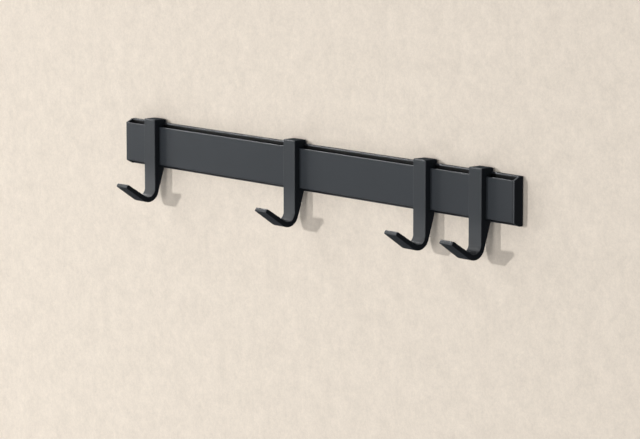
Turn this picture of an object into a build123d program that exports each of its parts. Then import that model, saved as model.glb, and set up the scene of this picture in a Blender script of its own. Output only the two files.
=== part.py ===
"""Sliding hook rail for a wall, in build123d.

An aluminium extrusion with a groove along its top and its bottom edge carries
four cast hooks. Each hook clasps the front panel, with a tongue in each groove,
and slides along the rail. An end cap closes each end and keeps the hooks on.

Frame, in millimetres: the wall is the plane Y = 0, the rail stands out of it
towards -Y and runs along X, +Z is up, and the origin is the middle of the
rail's back face.
"""
from math import acos, atan2, cos, isclose, radians, sin
from build123d import *
import os

os.makedirs("parts", exist_ok=True)

# Rail: overall length with its caps, and the sizes of its section
rail_length = 500.0
back_plate_height = 40.0
back_plate_thickness = 3.5
front_panel_height = 34.0
front_panel_thickness = 2.0
groove_width = 4.0
groove_depth = 8.0
web_thickness = 2.0
panel_edge_radius = 0.7
back_plate_edge_radius = 1.2
root_radius = 0.8

# Wall screws: a clearance hole in the back plate, an access hole in the panel
screw_inset = 40.0
screw_hole_diameter = 4.5
access_hole_diameter = 9.5

# End caps: a plate with a spigot pushed into the rail's hollow
cap_thickness = 2.4
cap_edge_radius = 0.4
cap_joint_bevel = 0.4
spigot_length = 12.0
spigot_clearance = 0.05
spigot_wall = 1.2
spigot_nose = 0.4

# Hooks: width, running clearance on the rail, and the clasp around it
hook_width = 15.0
slide_clearance = 0.3
strip_thickness = 4.5
roof_thickness = 3.4
wall_gap = 1.5
tongue_length = 5.0

# Hooks: the bend and the arm below the rail
bend_drop = 21.1
bend_inner_radius = 6.6
bend_thickness = 4.4
arm_length = 23.0
arm_rise = 34.5
tip_thickness = 3.5
tip_round = 1.3
tip_lower_round = 0.8
hook_corner_radius = 1.0
hook_edge_bevel = 0.4

# Hooks: where each stands, the inner two measured from the nearer rail end
centre_hook_from_left_end = 231.5
right_hook_from_right_end = 105.5

# Places that follow from the sizes above
profile_length = rail_length - 2 * cap_thickness
groove_back = -back_plate_thickness
groove_front = groove_back - groove_width
rail_front = groove_front - front_panel_thickness
panel_top = front_panel_height / 2
back_plate_top = back_plate_height / 2
groove_floor = panel_top - groove_depth
hollow_half_height = groove_floor - web_thickness
groove_centre = (groove_back + groove_front) / 2
screw_place = rail_length / 2 - screw_inset
hook_places = {
    "far_left_hook": -screw_place,
    "centre_hook": centre_hook_from_left_end - rail_length / 2,
    "right_hook": rail_length / 2 - right_hook_from_right_end,
    "far_right_hook": screw_place,
}


def tangent_point(point, centre, radius, side):
    """Where the line from point touches the circle, on the side +1 or -1 of its centre line."""
    dy = point[0] - centre[0]
    dz = point[1] - centre[1]
    turn = atan2(dz, dy) + side * acos(radius / (dy**2 + dz**2) ** 0.5)
    return (centre[0] + radius * cos(turn), centre[1] + radius * sin(turn))


# Rail profile: back plate and front panel joined by two webs, with a hollow between
with BuildPart() as rail_profile:
    with BuildSketch(Plane.YZ.offset(-profile_length / 2)) as section:
        with Locations((groove_back / 2, 0)):
            Rectangle(back_plate_thickness, back_plate_height)
        with Locations((rail_front + front_panel_thickness / 2, 0)):
            Rectangle(front_panel_thickness, front_panel_height)
        with Locations((groove_centre, 0)):
            with GridLocations(0, 2 * groove_floor - web_thickness, 1, 2):
                Rectangle(groove_width, web_thickness)
        # Rounded lips of panel and back plate, and rounded roots where the webs meet them
        panel_lips = section.vertices().filter_by(lambda v: isclose(abs(v.Y), panel_top))
        fillet(panel_lips, panel_edge_radius)
        plate_lips = section.vertices().filter_by(lambda v: isclose(abs(v.Y), back_plate_top))
        fillet(plate_lips.filter_by(lambda v: isclose(v.X, groove_back)), back_plate_edge_radius)
        roots = section.vertices().filter_by(lambda v: abs(v.Y) < groove_floor + root_radius)
        fillet(roots, root_radius)
    extrude(amount=profile_length)
    # Each screw goes in through the panel's access hole and seats on the back plate
    with BuildSketch(Plane.XZ) as screw_holes:
        with Locations((-screw_place, 0), (screw_place, 0)):
            Circle(screw_hole_diameter / 2)
    extrude(amount=back_plate_thickness, mode=Mode.SUBTRACT)
    with BuildSketch(Plane.XZ.offset(-groove_front)) as access_holes:
        with Locations((-screw_place, 0), (screw_place, 0)):
            Circle(access_hole_diameter / 2)
    extrude(amount=front_panel_thickness, mode=Mode.SUBTRACT)
rail_profile.part.label = "rail_profile"
export_step(rail_profile.part, "parts/rail_profile.step")

# End caps: a plate with the rail's outline and a hollow spigot in the rail's hollow
spigot_depth = groove_width - 2 * spigot_clearance
spigot_height = 2 * (hollow_half_height - spigot_clearance)
for cap_name, side in (("left_end_cap", -1), ("right_end_cap", 1)):
    rail_end = Plane.YZ.offset(side * profile_length / 2)
    with BuildPart() as end_cap:
        with BuildSketch(rail_end) as plate:
            with BuildLine() as half_outline:
                Polyline(
                    (0, 0),
                    (0, back_plate_top),
                    (groove_back, back_plate_top),
                    (rail_front, panel_top),
                    (rail_front, 0),
                )
                mirror(about=Plane.XZ)
            make_face()
            corners = plate.vertices().group_by(Axis.X)
            fillet(corners[0], panel_edge_radius)
            fillet(corners[1], back_plate_edge_radius)
        extrude(amount=side * cap_thickness)
        # A rounded outer edge, and a fine bevel that draws a line at the joint with the rail
        inner_face = end_cap.faces().sort_by(Axis.X)[-1 if side < 0 else 0]
        chamfer(inner_face.edges(), cap_joint_bevel)
        outer_face = end_cap.faces().sort_by(Axis.X)[0 if side < 0 else -1]
        fillet(outer_face.edges(), cap_edge_radius)
        with BuildSketch(rail_end) as spigot:
            with Locations((groove_centre, 0)):
                RectangleRounded(spigot_depth, spigot_height, root_radius + spigot_clearance)
                hollow_depth = spigot_depth - 2 * spigot_wall
                hollow_height = spigot_height - 2 * spigot_wall
                Rectangle(hollow_depth, hollow_height, mode=Mode.SUBTRACT)
        extrude(amount=-side * spigot_length)
        nose_face = end_cap.faces().sort_by(Axis.X)[-1 if side < 0 else 0]
        chamfer(nose_face.outer_wire().edges(), spigot_nose)
    end_cap.part.label = cap_name
    export_step(end_cap.part, f"parts/{cap_name}.step")

# The hook's side view: what clasps the rail takes its places from the rail's section
strip_back = rail_front - slide_clearance
strip_front = strip_back - strip_thickness
roof_underside = back_plate_top + slide_clearance
roof_top = roof_underside + roof_thickness
tongue_back = groove_back - slide_clearance
tongue_front = groove_front + slide_clearance
panel_clear = panel_top + slide_clearance
tongue_end = panel_top - tongue_length
heel_corner = (tongue_back, -roof_underside)

# The bend: two arcs about one centre, the inner one running on from the strip's front face
bend_centre = (strip_front - bend_inner_radius, -panel_top - bend_drop)
bend_outer_radius = bend_inner_radius + bend_thickness
heel_end = tangent_point(heel_corner, bend_centre, bend_outer_radius, -1)
arm_angle = radians(arm_rise)
arm_along = (-cos(arm_angle), sin(arm_angle))
arm_across = (sin(arm_angle), cos(arm_angle))
arm_start = (
    bend_centre[0] - bend_outer_radius * arm_across[0],
    bend_centre[1] - bend_outer_radius * arm_across[1],
)
tip_outer = (arm_start[0] + arm_length * arm_along[0], arm_start[1] + arm_length * arm_along[1])
tip_inner = (tip_outer[0] + tip_thickness * arm_across[0], tip_outer[1] + tip_thickness * arm_across[1])
inner_start = tangent_point(tip_inner, bend_centre, bend_inner_radius, 1)

for hook_name, place in hook_places.items():
    with BuildPart() as hook:
        with BuildSketch(Plane.YZ.offset(place - hook_width / 2)) as side_view:
            with BuildLine() as outline:
                # Front face up to the roof, then the clasp around panel and back plate
                Polyline(
                    (strip_front, bend_centre[1]),
                    (strip_front, roof_top),
                    (-wall_gap, roof_top),
                    (-wall_gap, roof_underside),
                    (tongue_back, roof_underside),
                    (tongue_back, tongue_end),
                    (tongue_front, tongue_end),
                    (tongue_front, panel_clear),
                    (strip_back, panel_clear),
                    (strip_back, -panel_clear),
                    (tongue_front, -panel_clear),
                    (tongue_front, -tongue_end),
                    (tongue_back, -tongue_end),
                    heel_corner,
                    heel_end,
                )
                # Outer side of the bend, the arm with its tip, and the inner side back up
                heel_run = (heel_end[0] - heel_corner[0], heel_end[1] - heel_corner[1])
                TangentArc(heel_end, arm_start, tangent=heel_run)
                Polyline(arm_start, tip_outer, tip_inner, inner_start)
                TangentArc((strip_front, bend_centre[1]), inner_start, tangent=(0, -1))
            make_face()
            fillet(side_view.vertices().sort_by_distance(tip_inner)[0], tip_round)
            fillet(side_view.vertices().sort_by_distance(tip_outer)[0], tip_lower_round)
            fillet(side_view.vertices().group_by(Axis.Y)[-1], hook_corner_radius)
        extrude(amount=hook_width)
        # Bevel the side edges in view, and leave those of the clasp crisp
        sides = hook.faces().sort_by(Axis.X)
        side_edges = sides[0].edges() + sides[-1].edges()
        clasp = side_edges.filter_by(lambda e: e.center().Y > strip_back - hook_edge_bevel)
        clasp = clasp.filter_by(lambda e: abs(e.center().Z) <= roof_underside)
        chamfer([e for e in side_edges if e not in clasp], hook_edge_bevel)
    hook.part.label = hook_name
    export_step(hook.part, f"parts/{hook_name}.step")
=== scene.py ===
import math

import bmesh
import bpy
from mathutils import Matrix, Vector


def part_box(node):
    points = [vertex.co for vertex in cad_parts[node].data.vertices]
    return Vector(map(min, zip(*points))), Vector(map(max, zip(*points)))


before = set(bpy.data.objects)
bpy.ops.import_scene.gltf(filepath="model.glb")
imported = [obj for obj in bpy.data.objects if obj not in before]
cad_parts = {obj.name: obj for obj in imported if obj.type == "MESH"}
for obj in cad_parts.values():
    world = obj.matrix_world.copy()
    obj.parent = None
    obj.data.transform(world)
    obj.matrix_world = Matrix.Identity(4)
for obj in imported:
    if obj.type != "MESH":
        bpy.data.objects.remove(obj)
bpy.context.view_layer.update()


# Rail: one aluminium extrusion, a flat panel in front of a taller back plate with a groove
# along each edge. It is sprayed and baked in satin anthracite, with a very fine grain.
# The grooves between panel and plate are painted nearly black and a little less rough, as painted shade
# where the panel shades the plate.
def satin_coat(name, colour, roughness, grain, edge_round):
    """A baked coating: slight clouds in its colour, fine grain in gloss and surface, soft edges."""
    cloud_contrast = 0.1
    gloss_spread = 0.05
    grain_depth = 0.05
    material = bpy.data.materials.new(name)
    material.use_nodes = True
    nodes = material.node_tree.nodes
    links = material.node_tree.links
    shader = nodes["Principled BSDF"]
    place = nodes.new("ShaderNodeTexCoord")

    cloud = nodes.new("ShaderNodeTexNoise")
    cloud.inputs["Scale"].default_value = 28.0
    cloud.inputs["Detail"].default_value = 3.0
    tone = nodes.new("ShaderNodeMix")
    tone.name = "tone"
    tone.data_type = "RGBA"
    tone.inputs["A"].default_value = (*[channel * (1.0 - cloud_contrast) for channel in colour], 1.0)
    tone.inputs["B"].default_value = (*[channel * (1.0 + cloud_contrast) for channel in colour], 1.0)
    links.new(place.outputs["Object"], cloud.inputs["Vector"])
    links.new(cloud.outputs["Fac"], tone.inputs["Factor"])
    links.new(tone.outputs["Result"], shader.inputs["Base Color"])

    speckle = nodes.new("ShaderNodeTexNoise")
    speckle.inputs["Scale"].default_value = grain
    speckle.inputs["Detail"].default_value = 2.0
    gloss = nodes.new("ShaderNodeMapRange")
    gloss.name = "gloss"
    gloss.inputs["From Min"].default_value = 0.3
    gloss.inputs["From Max"].default_value = 0.7
    gloss.inputs["To Min"].default_value = roughness - gloss_spread
    gloss.inputs["To Max"].default_value = roughness + gloss_spread
    links.new(place.outputs["Object"], speckle.inputs["Vector"])
    links.new(speckle.outputs["Fac"], gloss.inputs["Value"])
    links.new(gloss.outputs["Result"], shader.inputs["Roughness"])

    rounding = nodes.new("ShaderNodeBevel")
    rounding.name = "rounding"
    rounding.samples = 6
    rounding.inputs["Radius"].default_value = edge_round
    relief = nodes.new("ShaderNodeBump")
    relief.name = "relief"
    relief.inputs["Strength"].default_value = 0.35
    relief.inputs["Distance"].default_value = grain_depth / grain
    links.new(speckle.outputs["Fac"], relief.inputs["Height"])
    links.new(rounding.outputs["Normal"], relief.inputs["Normal"])
    links.new(relief.outputs["Normal"], shader.inputs["Normal"])
    return material


def within(tree, value, outer, inner):
    """0 on the outer side of a limit and 1 on its inner side, rising evenly between the two."""
    limit = tree.nodes.new("ShaderNodeMapRange")
    limit.inputs["From Min"].default_value = outer
    limit.inputs["From Max"].default_value = inner
    tree.links.new(value, limit.inputs["Value"])
    return limit.outputs["Result"]


def both(tree, first, second):
    """The product of two values, which is 1 only where both are 1."""
    product = tree.nodes.new("ShaderNodeMath")
    product.operation = "MULTIPLY"
    tree.links.new(first, product.inputs[0])
    tree.links.new(second, product.inputs[1])
    return product.outputs["Value"]


def paint_groove_shade(material, panel_back, plate_front, plate_lip, colour, roughness):
    """Paint shade into the grooves: the coating nearly black between the panel and the plate, and nowhere
    else.
    """
    tree = material.node_tree
    nodes = tree.nodes
    links = tree.links
    shader = nodes["Principled BSDF"]
    place = nodes.new("ShaderNodeTexCoord")
    axes = nodes.new("ShaderNodeSeparateXYZ")
    height = nodes.new("ShaderNodeMath")
    height.operation = "ABSOLUTE"
    links.new(place.outputs["Object"], axes.inputs["Vector"])
    links.new(axes.outputs["Z"], height.inputs[0])

    fade = 0.0006
    behind_panel = within(tree, axes.outputs["Y"], panel_back - fade, panel_back)
    before_plate = within(tree, axes.outputs["Y"], plate_front + fade, plate_front)
    below_lip = within(tree, height.outputs["Value"], plate_lip + fade, plate_lip)
    # Painted shade: this mask marks the grooves, where the coating is painted nearly black.
    groove_shade_mask = both(tree, both(tree, behind_panel, before_plate), below_lip)

    tone = nodes.new("ShaderNodeMix")
    tone.data_type = "RGBA"
    tone.inputs["B"].default_value = (*colour, 1.0)
    links.new(groove_shade_mask, tone.inputs["Factor"])
    links.new(nodes["tone"].outputs["Result"], tone.inputs["A"])
    links.new(tone.outputs["Result"], shader.inputs["Base Color"])

    gloss = nodes.new("ShaderNodeMix")
    gloss.inputs["B"].default_value = roughness
    links.new(groove_shade_mask, gloss.inputs["Factor"])
    links.new(nodes["gloss"].outputs["Result"], gloss.inputs["A"])
    links.new(gloss.outputs["Result"], shader.inputs["Roughness"])


rail_low, rail_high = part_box("rail_profile")
panel_thickness = 0.002
plate_thickness = 0.0035
plate_edge_radius = 0.0012
rail_coat = satin_coat("rail_satin_coat", colour=(0.020, 0.025, 0.031), roughness=0.40,
                       grain=2600.0, edge_round=0.0004)
# Painted shade: the grooves between panel and plate are painted nearly black.
paint_groove_shade(rail_coat, panel_back=rail_low.y + panel_thickness, plate_front=-plate_thickness,
               plate_lip=rail_high.z - plate_edge_radius, colour=(0.002, 0.002, 0.002), roughness=0.30)
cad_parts["rail_profile"].material_slots[0].material = rail_coat


# End caps: moulded plastic plates with the rail's outline, pushed into its hollow by a spigot.
# They are coloured through to match the coating, and more matt.
cap_plastic = satin_coat("end_cap_plastic", colour=(0.024, 0.029, 0.034), roughness=0.60,
                         grain=1800.0, edge_round=0.0004)
for cap in ("left_end_cap", "right_end_cap"):
    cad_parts[cap].material_slots[0].material = cap_plastic


# Hooks: four alike castings, each clasping the panel with a tongue in both grooves.
# Their powder coat is the rail's colour, with the slightly coarser grain of a cast surface.
# Below the rail the flat front is shaded softly into the bend, and so grows lighter.
def shade_into_bend(material, front, start, bend, lean):
    """Lean the shading of the front face upwards, by a slope that grows from the start down to the bend."""
    tree = material.node_tree
    place = tree.nodes.new("ShaderNodeTexCoord")
    axes = tree.nodes.new("ShaderNodeSeparateXYZ")
    tree.links.new(place.outputs["Object"], axes.inputs["Vector"])
    arm_fade = 0.002
    side_fade = 0.0005
    towards_bend = within(tree, axes.outputs["Z"], start, bend)
    before_arm = within(tree, axes.outputs["Y"], front - arm_fade, front - side_fade)
    before_sides = within(tree, axes.outputs["Y"], front + side_fade, front)
    amount = both(tree, both(tree, before_arm, before_sides), towards_bend)

    upwards = tree.nodes.new("ShaderNodeVectorMath")
    upwards.operation = "SCALE"
    upwards.inputs["Vector"].default_value = (0.0, 0.0, lean)
    tree.links.new(amount, upwards.inputs["Scale"])
    leaning = tree.nodes.new("ShaderNodeVectorMath")
    leaning.operation = "ADD"
    tree.links.new(tree.nodes["rounding"].outputs["Normal"], leaning.inputs[0])
    tree.links.new(upwards.outputs["Vector"], leaning.inputs[1])
    unit = tree.nodes.new("ShaderNodeVectorMath")
    unit.operation = "NORMALIZE"
    tree.links.new(leaning.outputs["Vector"], unit.inputs[0])
    tree.links.new(unit.outputs["Vector"], tree.nodes["relief"].inputs["Normal"])


hook_coat = satin_coat("hook_powder_coat", colour=(0.020, 0.025, 0.030), roughness=0.42,
                       grain=1500.0, edge_round=0.0007)
strip_front = -0.0143
lean_start = -0.0150
bend_height = -0.0381
shade_into_bend(hook_coat, strip_front, lean_start, bend_height, lean=0.17)
for hook in ("far_left_hook", "centre_hook", "right_hook", "far_right_hook"):
    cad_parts[hook].material_slots[0].material = hook_coat


# Wall, floor and backdrop: a plain plastered wall that the rail's back lies on, and a pale floor and
# backdrop all round. Each shows its front only, so that the rail can be looked at from behind as well,
# and none of them lights the dark coating or shows in it.
def matt_paint(name, colour, contrast):
    """Matt paint with fine marks lighter and darker than its colour, clear when seen from its back."""
    material = bpy.data.materials.new(name)
    material.use_nodes = True
    nodes = material.node_tree.nodes
    links = material.node_tree.links
    shader = nodes["Principled BSDF"]
    shader.inputs["Roughness"].default_value = 0.9
    shader.inputs["Specular IOR Level"].default_value = 0.1
    place = nodes.new("ShaderNodeTexCoord")
    cloud = nodes.new("ShaderNodeTexNoise")
    cloud.inputs["Scale"].default_value = 45.0
    cloud.inputs["Detail"].default_value = 5.0
    cloud.inputs["Roughness"].default_value = 1.0
    tone = nodes.new("ShaderNodeMix")
    tone.data_type = "RGBA"
    tone.inputs["A"].default_value = (*[channel * (1.0 - contrast) for channel in colour], 1.0)
    tone.inputs["B"].default_value = (*[channel * (1.0 + contrast) for channel in colour], 1.0)
    links.new(place.outputs["Object"], cloud.inputs["Vector"])
    links.new(cloud.outputs["Fac"], tone.inputs["Factor"])
    links.new(tone.outputs["Result"], shader.inputs["Base Color"])

    side = nodes.new("ShaderNodeNewGeometry")
    clear = nodes.new("ShaderNodeBsdfTransparent")
    pick = nodes.new("ShaderNodeMixShader")
    links.new(side.outputs["Backfacing"], pick.inputs["Fac"])
    links.new(shader.outputs["BSDF"], pick.inputs[1])
    links.new(clear.outputs["BSDF"], pick.inputs[2])
    links.new(pick.outputs["Shader"], nodes["Material Output"].inputs["Surface"])
    return material


def keep_pale(material, colour):
    """Show at least this colour wherever the paint is seen, however little light falls on it."""
    nodes = material.node_tree.nodes
    links = material.node_tree.links
    shader = nodes["Principled BSDF"]
    shader.inputs["Emission Color"].default_value = (*colour, 1.0)
    ray = nodes.new("ShaderNodeLightPath")
    seen = ray.outputs["Is Camera Ray"]
    for kind in ("Is Glossy Ray", "Is Transmission Ray"):
        either = nodes.new("ShaderNodeMath")
        either.operation = "MAXIMUM"
        links.new(seen, either.inputs[0])
        links.new(ray.outputs[kind], either.inputs[1])
        seen = either.outputs["Value"]
    links.new(seen, shader.inputs["Emission Strength"])


def stage_piece(name, shape, material):
    """A piece of the stage from a finished shape, kept out of the rail's light and reflections."""
    mesh = bpy.data.meshes.new(name)
    shape.to_mesh(mesh)
    shape.free()
    mesh.materials.append(material)
    piece = bpy.data.objects.new(name, mesh)
    piece.visible_shadow = False
    piece.visible_diffuse = False
    piece.visible_glossy = False
    bpy.context.scene.collection.objects.link(piece)


floor_drop = 1.1
wall_size = 2.4
wall_behind = 0.0004
wall_centre = Vector((0.0, wall_behind, wall_size / 2 - floor_drop))
wall_place = Matrix.Translation(wall_centre) @ Matrix.Rotation(math.radians(90.0), 4, "X")
wall_shape = bmesh.new()
bmesh.ops.create_grid(wall_shape, x_segments=1, y_segments=1, size=wall_size / 2, matrix=wall_place)
wall_paint = matt_paint("wall_paint", (0.80, 0.715, 0.615), contrast=0.25)
stage_piece("wall", wall_shape, wall_paint)

pale_paint = matt_paint("pale_paint", (0.155, 0.150, 0.143), contrast=0.05)
keep_pale(pale_paint, (0.53, 0.51, 0.485))
backdrop_radius = 8.0
floor_place = Matrix.Translation((0.0, 0.0, -floor_drop))
floor_shape = bmesh.new()
bmesh.ops.create_circle(floor_shape, cap_ends=True, segments=64, radius=backdrop_radius, matrix=floor_place)
stage_piece("floor", floor_shape, pale_paint)
backdrop_shape = bmesh.new()
bmesh.ops.create_uvsphere(backdrop_shape, u_segments=64, v_segments=32, radius=backdrop_radius)
bmesh.ops.reverse_faces(backdrop_shape, faces=backdrop_shape.faces)
stage_piece("backdrop", backdrop_shape, pale_paint)


# Light: a small lamp in front and to the left throws the clear shadows on the wall, soft boxes fill them,
# and one high on the left draws the bright top edges. Boxes from the right, the top and behind are for
# the other sides. The one behind is not reflected, or it would draw bright lines along the hooks.
def outwards(azimuth, elevation):
    """The direction from the rail towards a lamp or camera, from its angles in degrees."""
    turn = math.radians(azimuth)
    rise = math.radians(elevation)
    return Vector((math.sin(turn) * math.cos(rise), -math.cos(turn) * math.cos(rise), math.sin(rise)))


def soft_box(name, azimuth, elevation, distance, size, watts, reflected=True):
    """A square lamp on a sphere round the rail, aimed at its middle, and reflected in it or not."""
    lamp = bpy.data.lights.new(name, "AREA")
    lamp.shape = "SQUARE"
    lamp.size = size
    lamp.energy = watts
    box = bpy.data.objects.new(name, lamp)
    box.visible_glossy = reflected
    out = outwards(azimuth, elevation)
    box.location = out * distance
    box.rotation_euler = out.to_track_quat("Z", "Y").to_euler()
    bpy.context.scene.collection.objects.link(box)


soft_box("shadow_lamp", azimuth=-24.2, elevation=11.3, distance=6.0, size=0.25, watts=134.0)
soft_box("left_box", azimuth=-72.0, elevation=4.0, distance=5.0, size=1.5, watts=63.0)
soft_box("high_box", azimuth=-60.0, elevation=35.0, distance=5.0, size=2.0, watts=45.0)
soft_box("front_box", azimuth=10.0, elevation=0.0, distance=5.0, size=2.5, watts=80.0)
soft_box("low_box", azimuth=-50.0, elevation=-45.0, distance=2.4, size=1.4, watts=15.0)
soft_box("edge_box", azimuth=-98.0, elevation=41.0, distance=6.0, size=1.0, watts=115.0)
soft_box("right_box", azimuth=45.0, elevation=-25.0, distance=5.0, size=2.0, watts=20.0)
soft_box("top_box", azimuth=180.0, elevation=75.0, distance=5.0, size=2.0, watts=40.0)
soft_box("back_box", azimuth=195.0, elevation=-15.0, distance=4.0, size=2.5, watts=180.0, reflected=False)
room = bpy.data.worlds.new("room")
room.use_nodes = True
room.node_tree.nodes["Background"].inputs["Color"].default_value = (0.06, 0.06, 0.063, 1.0)
bpy.context.scene.world = room


# Camera: a long lens to the right of the rail and a little above it, as in the photograph.
# Its angles, distance and aim were fitted to the rail's edges and corners there.
view_azimuth = 49.36
view_elevation = 8.63
view_distance = 2.827
aim_right = 0.0033
aim_up = -0.0428
lens_pixels = 3361.0
image_width_pixels = 640.0
out = outwards(view_azimuth, view_elevation)
right = Vector((0.0, 0.0, 1.0)).cross(out).normalized()
camera = bpy.data.objects.new("camera", bpy.data.cameras.new("camera"))
camera.data.sensor_width = 36.0
camera.data.lens = camera.data.sensor_width * lens_pixels / image_width_pixels
camera.data.clip_end = 50.0
camera.location = out * view_distance + right * aim_right + out.cross(right) * aim_up
camera.rotation_euler = out.to_track_quat("Z", "Y").to_euler()
bpy.context.scene.collection.objects.link(camera)
bpy.context.scene.camera = camera
bpy.context.scene.view_settings.view_transform = "Standard"
